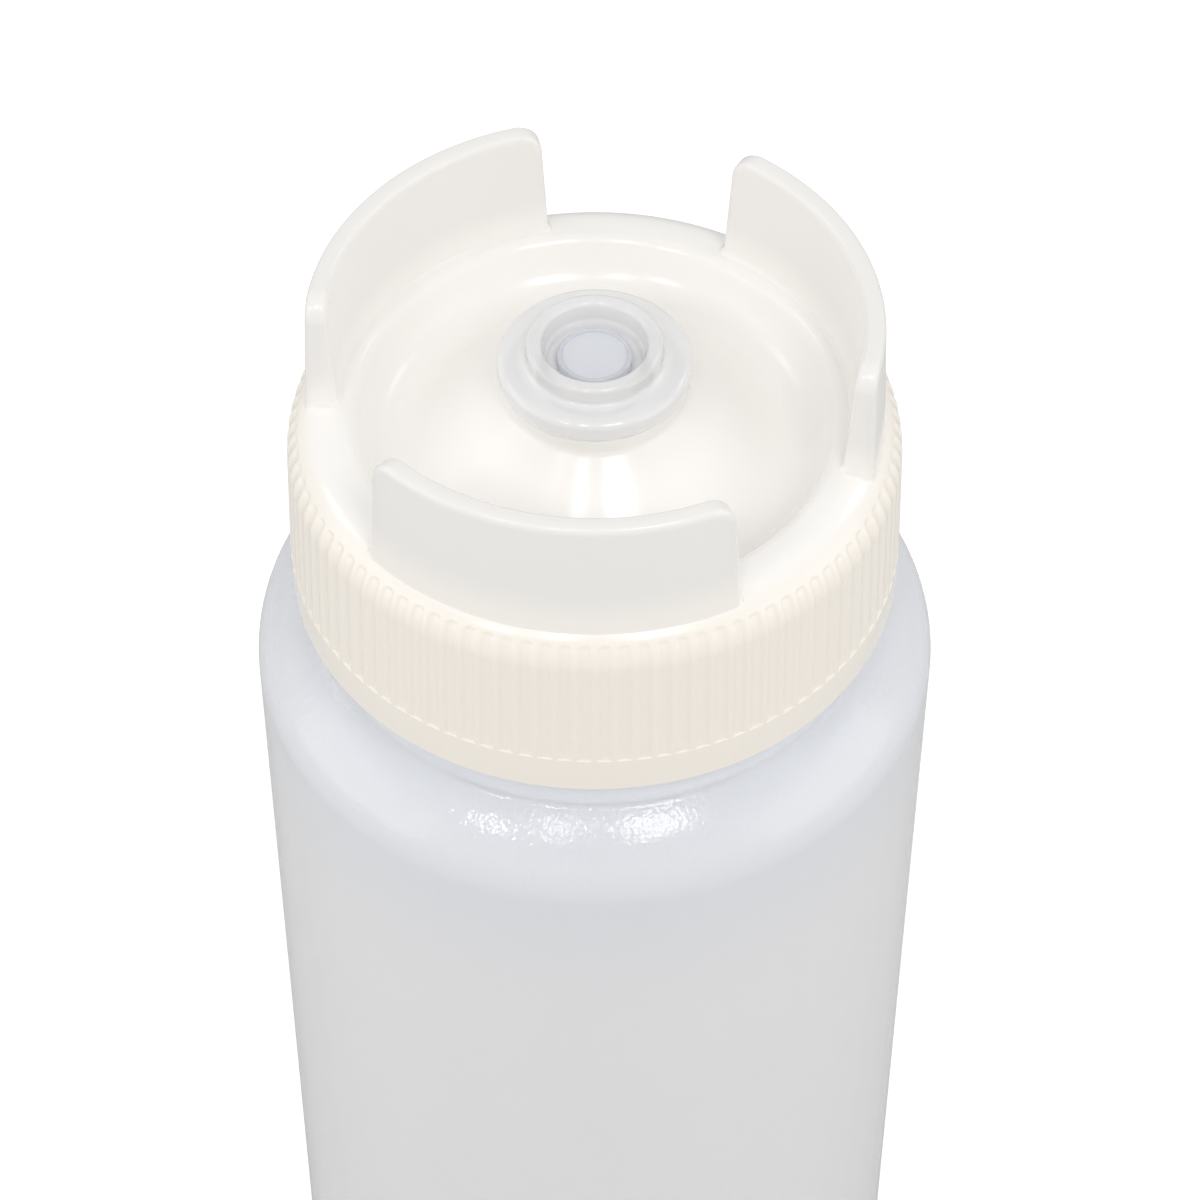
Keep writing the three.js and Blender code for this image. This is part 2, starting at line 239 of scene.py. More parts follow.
def geometry_tree(name, inputs):
    """An empty geometry tree and a wire for each input, which is a name and an example value."""
    tree = bpy.data.node_groups.new(name, "GeometryNodeTree")
    sketch = Sketch(tree)
    tree.interface.new_socket("Geometry", in_out="INPUT", socket_type="NodeSocketGeometry")
    tree.interface.new_socket("Geometry", in_out="OUTPUT", socket_type="NodeSocketGeometry")
    for title, value in inputs.items():
        tree.interface.new_socket(title, in_out="INPUT", socket_type=SOCKETS[type(value)])
    start = sketch.add("NodeGroupInput")
    return sketch, {title: start.output(title) for title in ("Geometry", *inputs)}


def finish_tree(sketch, geometry, material):
    """Ends a tree: real meshes instead of instances, with the material set."""
    real = sketch.add("GeometryNodeRealizeInstances", {}, {"Geometry": geometry})
    dressed = sketch.add("GeometryNodeSetMaterial", {}, {"Geometry": real, "Material": material})
    sketch.add("NodeGroupOutput", {}, {"Geometry": dressed})


def keep_result(obj):
    """Makes what an object's modifiers give its plain, smooth mesh."""
    depsgraph = bpy.context.evaluated_depsgraph_get()
    mesh = bpy.data.meshes.new_from_object(obj.evaluated_get(depsgraph), depsgraph=depsgraph)
    obj.modifiers.clear()
    obj.data = mesh
    mesh.name = obj.name
    mesh.shade_smooth()
    return obj


def grown(obj, sketch, inputs):
    """Runs a tree on an object and keeps the result as its plain mesh."""
    modifier = obj.modifiers.new(sketch.tree.name, "NODES")
    modifier.node_group = sketch.tree
    for item in sketch.tree.interface.items_tree:
        if item.in_out == "INPUT" and item.name in inputs:
            modifier[item.identifier] = inputs[item.name]
    return keep_result(obj)


def report(obj):
    """Prints what a piece came out as."""
    triangles = sum(len(p.vertices) - 2 for p in obj.data.polygons)
    print(f"{obj.name}: {triangles} triangles")
    return obj


print("inputs may be", ", ".join(kind.__name__ for kind in SOCKETS))

# %% [markdown]
# ## Studio
# The object is almost white on white, so light has to do the drawing. Two upright window lamps stand
# high behind the camera, and their images are the pair of streaks on the cone. A third one further left
# lights that side of the shoulder. Two large low lamps keep the sides of the body bright, and two small
# ones further back make the soft spots on the cone. The world fills the rest evenly. Floor and world
# are white to the camera, but reflections see only the fill, and the floor keeps the object's shadow.


# %% World and floor
WHITE = (1, 1, 1)
FILL_STRENGTH = 0.65
FLOOR_COLOUR = (0.62, 0.62, 0.62)
FLOOR_LIFT = 0.55
FLOOR_RADIUS = 6.0
FLOOR_SIDES = 64


def seen_directly(sketch):
    """1 for the rays that show a background: straight, or through something clear."""
    path = sketch.add("ShaderNodeLightPath")
    return sketch.clamp(path.output("Is Camera Ray") + path.output("Is Transmission Ray"))


world = bpy.data.worlds.new("studio")
bpy.context.scene.world = world
world.use_nodes = True
sky = Sketch(world.node_tree)
strength = FILL_STRENGTH + (1 - FILL_STRENGTH) * seen_directly(sky)
background = sky.add("ShaderNodeBackground", {}, {"Color": (*WHITE, 1), "Strength": strength})
sky.add("ShaderNodeOutputWorld", {}, {"Surface": background})

floor_mesh = bpy.data.meshes.new("floor")
floor_bm = bmesh.new()
bmesh.ops.create_circle(floor_bm, cap_ends=True, segments=FLOOR_SIDES, radius=FLOOR_RADIUS)
floor_bm.to_mesh(floor_mesh)
floor = bpy.data.objects.new("floor", floor_mesh)
bpy.context.scene.collection.objects.link(floor)
floor_finish = bpy.data.materials.new("studio_floor")
floor_finish.use_nodes = True
paper = Sketch(floor_finish.node_tree)
diffuse = paper.add("ShaderNodeBsdfDiffuse", {}, {"Color": (*FLOOR_COLOUR, 1)})
lift = seen_directly(paper) * FLOOR_LIFT
glow = paper.add("ShaderNodeEmission", {}, {"Color": (*WHITE, 1), "Strength": lift})
both = paper.add("ShaderNodeAddShader", {}, {0: diffuse, 1: glow})
paper.add("ShaderNodeOutputMaterial", {}, {"Surface": both})
floor_mesh.materials.append(floor_finish)
print(f"fill {FILL_STRENGTH:g}, floor {FLOOR_RADIUS:g} m in radius")

# %% Lamps
LAMP_DISTANCE = 1.3
# Bearing, height, width, how tall and watts of each lamp
LAMPS = {
    "front_left": (-36, 43, 0.18, 0.2, 0.95),
    "window_left": (-14, 52, 0.15, 0.42, 1.2),
    "window_right": (24, 52, 0.34, 0.42, 2.8),
    "side_left": (-75, 8, 1.2, 1.2, 4.1),
    "side_right": (75, 8, 1.2, 1.2, 4.1),
    "back_left": (-112, 38, 0.3, 0.3, 0.7),
    "back_right": (122, 38, 0.3, 0.3, 0.7),
}


def window_lamp(name, bearing, height, width, tall, watts):
    """An upright area lamp aimed at the cap. The bearing turns from behind the camera to its right and
    the height is above the floor, both in degrees. The two sides are in metres."""
    data = bpy.data.lights.new(name, "AREA")
    data.shape = "RECTANGLE"
    data.size = width
    data.size_y = tall
    data.energy = watts
    data.color = WHITE
    lamp = bpy.data.objects.new(name, data)
    target = Vector((0, 0, DECK_TOP * MM))
    across, up = math.radians(bearing), math.radians(height)
    away = Vector((math.sin(across) * math.cos(up), -math.cos(across) * math.cos(up), math.sin(up)))
    lamp.location = target + away * LAMP_DISTANCE
    lamp.rotation_euler = away.to_track_quat("Z", "Y").to_euler()
    bpy.context.scene.collection.objects.link(lamp)
    return lamp


lamps = [window_lamp(name, *numbers) for name, numbers in LAMPS.items()]
bpy.context.scene.view_settings.view_transform = "Standard"
print("lamps:", ", ".join(f"{lamp.name} {lamp.data.energy:g} W" for lamp in lamps))

# %% [markdown]
# ## Turned meshes
# Almost everything here was turned or moulded round one axis, so one helper spins an outline. Rounded
# corners are drawn as arcs, because real mouldings have no razor edges and light catches on the
# rounding. A ring may have more columns than its neighbour, which keeps fine detail where it is needed.


# %% Outlines
ARC_STEP = math.radians(9)


def arc(centre, radius, start, end, step=ARC_STEP):
    """Points along an arc in the plane of radius and height, both ends included."""
    count = max(2, math.ceil(abs(end - start) / step))
    angles = [start + (end - start) * i / count for i in range(count + 1)]
    return [(centre[0] + radius * math.cos(a), centre[1] + radius * math.sin(a)) for a in angles]


def rounded(corners):
    """A closed outline from corners (x, y) or (x, y, rounding), with each rounding as an arc."""
    outline = []
    for i, (x, y, *rounding) in enumerate(corners):
        here = Vector((x, y))
        back = Vector(corners[i - 1][:2]) - here
        ahead = Vector(corners[(i + 1) % len(corners)][:2]) - here
        if not rounding:
            outline.append((x, y))
            continue
        half = (math.pi - back.angle(ahead)) / 2
        radius = min(rounding[0], min(back.length, ahead.length) / 2 / math.tan(half))
        middle = here + (back.normalized() + ahead.normalized()).normalized() * radius / math.cos(half)
        start = here + back.normalized() * radius * math.tan(half) - middle
        end = here + ahead.normalized() * radius * math.tan(half) - middle
        turn = math.atan2(start.x * end.y - start.y * end.x, start.dot(end))
        first = math.atan2(start.y, start.x)
        outline += arc(middle, radius, first, first + turn)
    return outline


print(f"a quarter circle has {len(arc((0, 0), 1, 0, math.pi / 2)) - 1} steps")


# %% Turned meshes
def bridge(low, high):
    """Faces between two rings. Where one has more columns, each of its runs meets one coarse column."""
    count = min(len(low), len(high))
    faces = []
    for i in range(count):
        run_low, run_high = len(low) // count, len(high) // count
        bottom = [low[(i * run_low + k) % len(low)] for k in range(run_low + 1)]
        top = [high[(i * run_high + k) % len(high)] for k in range(run_high + 1)]
        face = list(dict.fromkeys(bottom + top[::-1]))
        if len(face) > 2:
            faces.append(face)
    return faces


def new_piece(name, points, faces, material):
    """A smooth mesh object from points in millimetres."""
    mesh = bpy.data.meshes.new(name)
    mesh.from_pydata([Vector(point) * MM for point in points], [], faces)
    mesh.materials.append(material)
    mesh.shade_smooth()
    obj = bpy.data.objects.new(name, mesh)
    bpy.context.scene.collection.objects.link(obj)
    return obj


def evenly(count):
    """The angles that share out a full turn."""
    return [2 * math.pi * i / count for i in range(count)]


def turned(name, outline, columns, material):
    """Spins an outline about the Z axis. It runs anticlockwise, and either closes on itself or starts
    and ends on the axis. columns gives the angles of the ring at a point of the outline."""
    points, rings = [], []
    for index, (radius, height) in enumerate(outline):
        if radius == 0:
            rings.append([len(points)])
            points.append((0, 0, height))
        else:
            angles = columns(index)
            rings.append(list(range(len(points), len(points) + len(angles))))
            points += [(radius * math.cos(a), radius * math.sin(a), height) for a in angles]
    faces = []
    open_ended = outline[0][0] == 0
    for index, ring in enumerate(rings[open_ended:], int(open_ended)):
        before = rings[index - 1]
        if len(before) == 1 or len(ring) == 1:
            rim, pole = (ring, before) if len(before) == 1 else (before, ring)
            pairs = zip(rim, rim[1:] + rim[:1])
            faces += [(b, a, pole[0]) if len(before) == 1 else (a, b, pole[0]) for a, b in pairs]
        else:
            faces += bridge(before, ring)
    return new_piece(name, points, faces, material)


sample = bridge([0, 1, 2, 3], [4, 5])
print(f"4 columns under 2 make {len(sample)} faces of {len(sample[0])} corners")

# %% [markdown]
# ## Plastics
# Four finishes cover the bottle. The body is uncoloured polyethylene, which looks milky because light
# goes a few millimetres into it, so its shader scatters under the surface. Its colour turns bluer up
# the shoulder, and darker there with painted shade under the cap. Blow moulding leaves a fine orange
# peel, which shows on the shoulder and is drawn there by a bump. The ivory cap could scatter too, but
# at its sharp inner corners that draws dark lines, so it is a solid colour with painted shade: darker
# and warmer towards the skirt, where its shadowed inside would show through, and darker above the
# deck, on the tabs and the cone. The valve is clear silicone, and painted shade makes the disc in its
# mouth darker and bluer. A shader that bends light turns dark where no lamp reaches in, so alpha lets
# part of what is behind show through. What varies over a surface is worked out from noise, height and
# radius in Object coordinates, and feeds only colour, roughness, alpha and bump. What stays the same
# is set on the shader itself.


# %% Finish helper
# Sockets of the Mix node when it mixes colours
FACTOR, FROM_COLOUR, TO_COLOUR, MIXED_COLOUR = 0, 6, 7, 2
DRIFT_DETAIL = 2.0
ROUGH_DETAIL = 3.0
PEEL_DETAIL = 1.0


def finish(name, base, shade, roughness, peel, constants, upper=None, cloud=None, rim=None):
    """A moulded material. base is two colours, and shade says where the second comes in: past a height
    or a radius, or in patches. roughness is lowest, highest and noise scale. peel is the bump's noise
    scale and depth in mm, and the heights between which it comes in, if it isn't everywhere. upper is
    two heights and a third colour that comes in between them. cloud is two radii, and how solid the
    finish looks inside the first and outside the second. rim is two heights, and how solid a clouded
    finish looks above them."""
    material = bpy.data.materials.new(name)
    material.use_nodes = True
    sketch = Sketch(material.node_tree)
    place = sketch.add("ShaderNodeTexCoord", output="Object")

    def noise(scale, detail):
        sockets = {"Vector": place, "Scale": scale, "Detail": detail}
        return sketch.add("ShaderNodeTexNoise", {}, sockets)

    spot = sketch.add("ShaderNodeSeparateXYZ", {}, {"Vector": place})
    east, north = spot.output("X"), spot.output("Y")
    away = {"height": spot.output("Z"), "radius": sketch.maths("SQRT", east * east + north * north)}

    def passed(kind, start, end):
        """0 before the start, 1 past the end, in millimetres of height or radius."""
        return sketch.soft_step((away[kind] - start * MM) / ((end - start) * MM))

    first, second = base
    kind, start, end = shade
    if kind == "drift":
        share = sketch.soft_step(noise(1 / (end * MM), DRIFT_DETAIL) * 2 - start)
    else:
        share = passed(kind, start, end)
    mixing = {"data_type": "RGBA"}
    mixed = {FACTOR: share, FROM_COLOUR: (*first, 1), TO_COLOUR: (*second, 1)}
    colour = sketch.add("ShaderNodeMix", mixing, mixed, output=MIXED_COLOUR)
    if upper:
        start, end, third = upper
        mixed = {FACTOR: passed("height", start, end), FROM_COLOUR: colour, TO_COLOUR: (*third, 1)}
        colour = sketch.add("ShaderNodeMix", mixing, mixed, output=MIXED_COLOUR)
    low, high, rough_scale = roughness
    rough = low + (high - low) * sketch.clamp(noise(rough_scale, ROUGH_DETAIL))
    if cloud:
        inner, outer, inside, outside = cloud
        solid = inside + (outside - inside) * passed("radius", inner, outer)
        start, end, clear = rim
        constants = {**constants, "Alpha": solid + (clear - solid) * passed("height", start, end)}
    peel_scale, peel_depth, *heights = peel
    grain = noise(peel_scale, PEEL_DETAIL)
    grain = grain * passed("height", *heights) if heights else grain
    bump = sketch.add("ShaderNodeBump", {}, {"Height": grain, "Distance": peel_depth * MM})
    shader = sketch.add("ShaderNodeBsdfPrincipled", {}, {
        "Base Color": colour, "Roughness": rough, "Normal": bump, **constants,
    })
    sketch.add("ShaderNodeOutputMaterial", {}, {"Surface": shader})
    return material


# Only the foam's colour drifts at random; the other finishes change colour with painted shade
print("a finish is colour drift, roughness drift and a moulded peel")

# %% Where the finishes change, in millimetres, and how they bend light
# Heights over which the body turns bluer, and darker with painted shade under the cap
TINT_AND_SHADE_LOW, TINT_AND_SHADE_HIGH = 135, 172
PEEL_LOW, PEEL_HIGH = 158, 167
# Radii over which the cap's colour takes painted shade, darker and warmer towards the skirt
SKIRT_SHADE_INNER, SKIRT_SHADE_OUTER = 29.5, 32.5
# Radii within which painted shade makes the valve's disc darker and bluer
SHADED_DISC_REACH, MOUTH_SHADE_REACH = 3.9, 4.7
COLLAR_REACH, FLANGE_REACH = 7.3, 8.6
CLEAR_RIM = 2.2
SOLID_RIM = 1.7
PLASTIC_IOR = 1.5
SILICONE_IOR = 1.41
SCATTER_SHARE = 0.6
SCATTER_DEPTH = 3 * MM
# Over these heights the body also darkens, which is painted shade under the cap
print(f"the body turns bluer from {TINT_AND_SHADE_LOW} to {TINT_AND_SHADE_HIGH} mm, and its peel starts at {PEEL_LOW} mm")

# %% The four finishes
milky_polyethylene = finish(
    "milky_polyethylene",
    base=((0.95, 0.945, 0.96), (0.835, 0.867, 0.945)),
    # Painted shade: bluer and darker towards the cap
    shade=("height", TINT_AND_SHADE_LOW, TINT_AND_SHADE_HIGH),
    roughness=(0.08, 0.12, 160),
    peel=(1700, 0.055, PEEL_LOW, PEEL_HIGH),
    constants={
        "Subsurface Weight": SCATTER_SHARE, "Subsurface Radius": (1, 1, 1),
        "Subsurface Scale": SCATTER_DEPTH, "IOR": PLASTIC_IOR,
    },
)
ivory_polypropylene = finish(
    "ivory_polypropylene",
    base=((0.97, 0.95, 0.92), (0.95, 0.895, 0.81)),
    # Painted shade: darker and warmer towards the skirt
    shade=("radius", SKIRT_SHADE_INNER, SKIRT_SHADE_OUTER),
    roughness=(0.15, 0.22, 220),
    peel=(2600, 0.003),
    constants={"IOR": PLASTIC_IOR},
    # Painted shade: darker above the deck, on the tabs and the cone
    upper=(DECK_TOP, BOSS_TOP, (0.89, 0.87, 0.843)),
)
clear_silicone = finish(
    "clear_silicone",
    base=((0.80, 0.82, 0.87), (0.965, 0.96, 0.96)),
    # Painted shade: the disc in the mouth darker and bluer
    shade=("radius", SHADED_DISC_REACH, MOUTH_SHADE_REACH),
    roughness=(0.1, 0.16, 300),
    peel=(900, 0.004),
    constants={"IOR": SILICONE_IOR, "Coat Weight": 1.0},
    cloud=(COLLAR_REACH, FLANGE_REACH, 0.9, 0.75),
    rim=(COLLAR_TOP - CLEAR_RIM, COLLAR_TOP - SOLID_RIM, 0.7),
)
seal_foam = finish(
    "seal_foam",
    base=((0.80, 0.79, 0.76), (0.73, 0.72, 0.69)),
    shade=("drift", 0.5, 2.5),
    roughness=(0.7, 0.9, 500),
    peel=(2500, 0.06),
    constants={},
)
finishes = (milky_polyethylene, ivory_polypropylene, clear_silicone, seal_foam)
print("finishes:", ", ".join(material.name for material in finishes))

# %% [markdown]
# ## Bottle
# The body is blown into a mould, so its wall is thin and everything is one turned shell: a base pushed
# up inside its standing ring, a straight side, a shoulder of two arcs and a neck. Spinning the outline
# of both walls gives the real thickness.

# %% Sizes of the bottle, in millimetres
COLLAR_STEP = 1.4
COLLAR_EDGE = 0.6
LOW_SHOULDER = 7.5
SHOULDER_HEIGHT = 160.5
SHOULDER_BREAK = math.radians(38.3)
SHOULDER_END = math.radians(63.7)
SHOULDER_STEP = math.radians(3)
BODY_WALL = 0.9
BASE_WALL = 1.4
BASE_EDGE = 5.0
PUSH_UP = 3.0
PUSH_UP_SLOPE = 3.5
PUSH_UP_ROUND = 2.0
STANDING_RING = 5.0
LIP_ROUND = 0.3
BODY_COLUMNS = 192
collar_radius = NECK_RADIUS + COLLAR_STEP
low_centre = Vector((BODY_RADIUS - LOW_SHOULDER, SHOULDER_HEIGHT))
break_way = Vector((math.cos(SHOULDER_BREAK), math.sin(SHOULDER_BREAK)))
break_point = low_centre + break_way * LOW_SHOULDER
high_run = math.cos(SHOULDER_BREAK) - math.cos(SHOULDER_END)
high_shoulder = (break_point.x - collar_radius) / high_run
high_centre = break_point - break_way * high_shoulder
shoulder_top = high_centre.y + high_shoulder * math.sin(SHOULDER_END)
print(f"shoulder: arcs of {LOW_SHOULDER:.1f} and {high_shoulder:.1f} mm, up to {shoulder_top:.1f} mm")


# %% Bottle outline and mesh
def shoulder(depth):
    """The two arcs of the shoulder, from the body up to the neck, at a depth below the surface."""
    low = arc(low_centre, LOW_SHOULDER - depth, 0, SHOULDER_BREAK, SHOULDER_STEP)
    high = arc(high_centre, high_shoulder - depth, SHOULDER_BREAK, SHOULDER_END, SHOULDER_STEP)
    return low + high[1:]


ring_inner = BODY_RADIUS - BASE_EDGE - STANDING_RING
bottle_outline = rounded([
    (0, PUSH_UP),
    (ring_inner - PUSH_UP_SLOPE, PUSH_UP, PUSH_UP_ROUND),
    (ring_inner, 0, PUSH_UP_ROUND),
    (BODY_RADIUS, 0, BASE_EDGE),
    *shoulder(0),
    (collar_radius, NECK_FOOT, COLLAR_EDGE),
    (NECK_RADIUS, NECK_FOOT, LIP_ROUND),
    (NECK_RADIUS, LIP, LIP_ROUND),
    (NECK_BORE, LIP, LIP_ROUND),
    (NECK_BORE, NECK_FOOT - NECK_WALL, COLLAR_EDGE),
    (collar_radius - NECK_WALL, NECK_FOOT - NECK_WALL - COLLAR_STEP, COLLAR_EDGE),
    (collar_radius - NECK_WALL, shoulder_top, COLLAR_EDGE),
    *reversed(shoulder(BODY_WALL)),
    (BODY_RADIUS - BODY_WALL, BASE_WALL, BASE_EDGE - BODY_WALL),
    (ring_inner, BASE_WALL, PUSH_UP_ROUND),
    (ring_inner - PUSH_UP_SLOPE, PUSH_UP + BASE_WALL, PUSH_UP_ROUND),
    (0, PUSH_UP + BASE_WALL),
])
body_angles = evenly(BODY_COLUMNS)
bottle_shell = turned("bottle_shell", bottle_outline, lambda index: body_angles, milky_polyethylene)
report(bottle_shell)
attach(bottle_shell, "bottle")
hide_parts("bottle_body")

# %% [markdown]
# ## Screw threads
# A thread is a bead wound round the neck. A spiral curve with a round section draws it, and the bead
# thins out at both ends, as a moulded thread does. The neck's bead stands outwards and the cap's stands
# inwards, so one tree with other numbers makes both.

# %% Thread tree
THREAD_PITCH = 4.233
THREAD_TURNS = 1.5
THREAD_TOP_DROP = 4.7
THREAD_BEAD = 1.05
THREAD_MEET = 1.73
THREAD_FADE_SHARE = 0.06
THREAD_SINK = 0.02
THREAD_STEPS = 96
BEAD_SIDES = 14

thread_inputs = {
    "Radius": 1.0, "Rise": 1.0, "Start": 1.0, "Bead": 1.0, "Fade": 1.0, "Material": ivory_polypropylene,
}
sketch, given = geometry_tree("screw_thread", thread_inputs)
spiral = sketch.add("GeometryNodeCurveSpiral", {}, {
    "Resolution": THREAD_STEPS, "Rotations": THREAD_TURNS, "Start Radius": given["Radius"],
    "End Radius": given["Radius"], "Height": given["Rise"],
})
along = sketch.add("GeometryNodeSplineParameter")
to_end = sketch.maths("MINIMUM", along, 1 - along)
fade = sketch.soft_step((to_end + THREAD_SINK * given["Fade"]) / given["Fade"])
section = sketch.add("GeometryNodeCurvePrimitiveCircle", {}, {
    "Resolution": BEAD_SIDES, "Radius": given["Bead"],
})
bead = sketch.add("GeometryNodeCurveToMesh", {}, {
    "Curve": spiral, "Profile Curve": section, "Scale": fade, "Fill Caps": True,
})
lifted = sketch.add("ShaderNodeCombineXYZ", {}, {"Z": given["Start"]})
wound = sketch.add("GeometryNodeTransform", {}, {"Geometry": bead, "Translation": lifted})
finish_tree(sketch, wound, given["Material"])
thread_tree = sketch


def screw_thread(name, radius, start, material):
    """A bead wound about the Z axis, from its lowest point up, at sizes in millimetres."""
    obj = new_piece(name, [(0, 0, 0)], [], material)
    return grown(obj, thread_tree, {
        "Radius": radius * MM, "Rise": THREAD_PITCH * THREAD_TURNS * MM, "Start": start * MM,
        "Bead": THREAD_BEAD * MM, "Fade": THREAD_FADE_SHARE, "Material": material,
    })


thread_start = LIP - THREAD_TOP_DROP - THREAD_PITCH * THREAD_TURNS
neck_thread = report(screw_thread("neck_thread", NECK_RADIUS, thread_start, milky_polyethylene))
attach(neck_thread, "bottle")
cap_start = thread_start - THREAD_MEET
cap_thread = report(screw_thread("cap_thread", SKIRT_BORE, cap_start, ivory_polypropylene))
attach(cap_thread, "cap")

# %% [markdown]
# ## Screw cap
# The cap is one moulding: band, grooved skirt, rounded shoulder, steep well, cone and boss. The skirt
# gets many columns, placed where a groove's edges fall, and the rest only two for each groove. The
# rows crowd together where the grooves run out in the shoulder. The wall of the well sweeps into the
# cone on a long curve, which is drawn point by point.


# %% Columns and rows of the skirt
FLUTES = 100
FLUTE_DEPTH = 0.2
FLUTE_WIDTH_SHARE = 0.86
FLUTE_FLOOR_SHARE = 0.3
FLUTE_END = math.radians(42)
FLUTE_END_RUN = 0.5
FLUTE_ARCH = 0.35
FLANK_SHARES = (0.2, 0.42, 0.5, 0.58, 0.67, 0.75, 0.86)
COLUMN_SHARES = (-1, *(-share for share in reversed(FLANK_SHARES)), 0, *FLANK_SHARES)
RUN_OUT = math.radians(45)
RUN_OUT_STEP = math.radians(1.5)
LEDGE_RISE = 0.06
LEDGE_SHARES = (0, 0.12, 0.88, 1)
LEDGE_SUPPORT = 0.12
flute_pitch = 2 * math.pi / FLUTES
fine_angles = [(f + 0.5 + share / 2) * flute_pitch for f in range(FLUTES) for share in COLUMN_SHARES]
skirt_height = DECK_TOP - BAND_TOP
lean = math.atan2(SKIRT_DRAFT, skirt_height)


def ridge(height):
    """Radius of the skirt's ridges at a height above the band."""
    return BAND_RADIUS - SKIRT_DRAFT * height / skirt_height


straight = skirt_height - CAP_SHOULDER
cap_shoulder = (ridge(straight) - CAP_SHOULDER / math.cos(lean), DECK_TOP - CAP_SHOULDER)
run_out_rows = arc(cap_shoulder, CAP_SHOULDER, lean, RUN_OUT, RUN_OUT_STEP)
ledge_rows = [-LEDGE_SUPPORT, *(LEDGE_RISE * share for share in LEDGE_SHARES)]
ledge_rows += [LEDGE_RISE + LEDGE_SUPPORT, straight / 3, straight * 2 / 3]
fluted_rows = [(ridge(max(0, h)), BAND_TOP + h) for h in ledge_rows] + run_out_rows
print(f"skirt: {len(fine_angles)} columns, {len(fluted_rows)} rows")


# %% Cap outline and mesh
SMALL_ROUND = 0.2
FOOT_ROUND = 1.0
SWEEP_STEPS = 24


def cone_top(radius):
    """Height of the cone's upper face at a radius."""
    return BOSS_FOOT - (radius - BOSS_RADIUS) * math.tan(CONE_SLOPE)


def cone_under(radius):
    """Height of the cone's lower face at a radius."""
    return cone_top(radius) - CONE_WALL / math.cos(CONE_SLOPE)


well_floor = WELL_RADIUS - WELL_DRAFT
plug_foot = PLUG_RADIUS - WELL_DRAFT
well_corner = Vector((well_floor, cone_top(well_floor)))
wall_run = (Vector((WELL_RADIUS, DECK_TOP)) - well_corner) * WELL_SWEEP
cone_run = Vector((-math.cos(CONE_SLOPE), math.sin(CONE_SLOPE))) * wall_run.length
well_sweep = [
    tuple(well_corner + wall_run * (1 - t) ** 2 + cone_run * t ** 2)
    for t in (i / SWEEP_STEPS for i in range(SWEEP_STEPS + 1))
]
skirt_foot = rounded([
    (SKIRT_BORE, DECK_UNDERSIDE, CAP_INNER_CORNER),
    (SKIRT_BORE, SKIRT_BOTTOM, SMALL_ROUND),
    (BAND_RADIUS, SKIRT_BOTTOM, BAND_EDGE),
    (BAND_RADIUS, BAND_TOP),
    (PLUG_RADIUS, DECK_UNDERSIDE),
])[:-2]
cap_top = rounded([
    (cap_shoulder[0], DECK_TOP),
    (WELL_RADIUS, DECK_TOP, WELL_EDGE),
    *well_sweep,
    (BOSS_RADIUS, BOSS_FOOT, FOOT_ROUND),
    (BOSS_RADIUS, BOSS_TOP, BOSS_EDGE),
    (BOSS_HOLE, BOSS_TOP, SMALL_ROUND),
    (BOSS_HOLE, BOSS_UNDERSIDE),
    (POCKET_RADIUS, BOSS_UNDERSIDE, SMALL_ROUND),
    (POCKET_RADIUS, min(BOSS_UNDERSIDE - POCKET_DEPTH, cone_under(POCKET_RADIUS))),
    (plug_foot, cone_under(plug_foot), TROUGH_ROUND + CONE_WALL),
    (PLUG_RADIUS, DECK_UNDERSIDE, SMALL_ROUND),
    (SKIRT_BORE, DECK_UNDERSIDE),
])[:-1]
shoulder_rows = arc(cap_shoulder, CAP_SHOULDER, RUN_OUT, math.pi / 2)[1:-1]
cap_outline = skirt_foot + fluted_rows + shoulder_rows + cap_top
fine_rows = range(len(skirt_foot), len(skirt_foot) + len(fluted_rows))
coarse_angles = [f * flute_pitch / 2 for f in range(2 * FLUTES)]


def cap_columns(index):
    """The columns of a row: many on the skirt, two for each groove elsewhere."""
    return fine_angles if index in fine_rows else coarse_angles


screw_cap = report(turned("screw_cap", cap_outline, cap_columns, ivory_polypropylene))

# %% [markdown]
# ## Grooves
# A groove is a rule: how far round, how high, how deep. A tree reads each point's bearing and height,
# works out how deep the groove is there, and draws the point in by that much. A smooth step rounds the
# sides, and each groove ends in an arch on the shoulder.

# %% Groove tree
flute_inputs = {
    "Count": float(FLUTES), "Inner limit": 1.0, "Bottom": 1.0, "End": 1.0, "End run": 1.0, "Arch": 1.0,
    "Depth": 1.0, "Ledge rise": 1.0, "Floor share": 1.0, "Width share": 1.0,
    "Material": ivory_polypropylene,
}
sketch, given = geometry_tree("skirt_grooves", flute_inputs)
place = sketch.add("ShaderNodeSeparateXYZ", {}, {"Vector": sketch.add("GeometryNodeInputPosition")})
east, north, height = place.output("X"), place.output("Y"), place.output("Z")
radius = sketch.maths("SQRT", east * east + north * north)
turn = sketch.maths("ARCTAN2", north, east) * given["Count"] / (2 * math.pi)
share = abs(sketch.maths("FRACT", turn) * 2 - 1)
flank = (given["Width share"] - share) / (given["Width share"] - given["Floor share"])
step_in = sketch.clamp((height - given["Bottom"]) / given["Ledge rise"])
step_out = sketch.soft_step((given["End"] - given["Arch"] * share * share - height) / given["End run"])
drawn_in = radius - given["Depth"] * step_in * step_out * sketch.soft_step(flank)
scale = drawn_in / radius
moved = sketch.add("ShaderNodeCombineXYZ", {}, {"X": east * scale, "Y": north * scale, "Z": height})
above = (height > given["Bottom"]) * (given["End"] > height) * (radius > given["Inner limit"])
grooved = sketch.add("GeometryNodeSetPosition", {}, {
    "Geometry": given["Geometry"], "Selection": above, "Position": moved,
})
finish_tree(sketch, grooved, given["Material"])
flute_end = DECK_TOP - CAP_SHOULDER * (1 - math.sin(FLUTE_END))
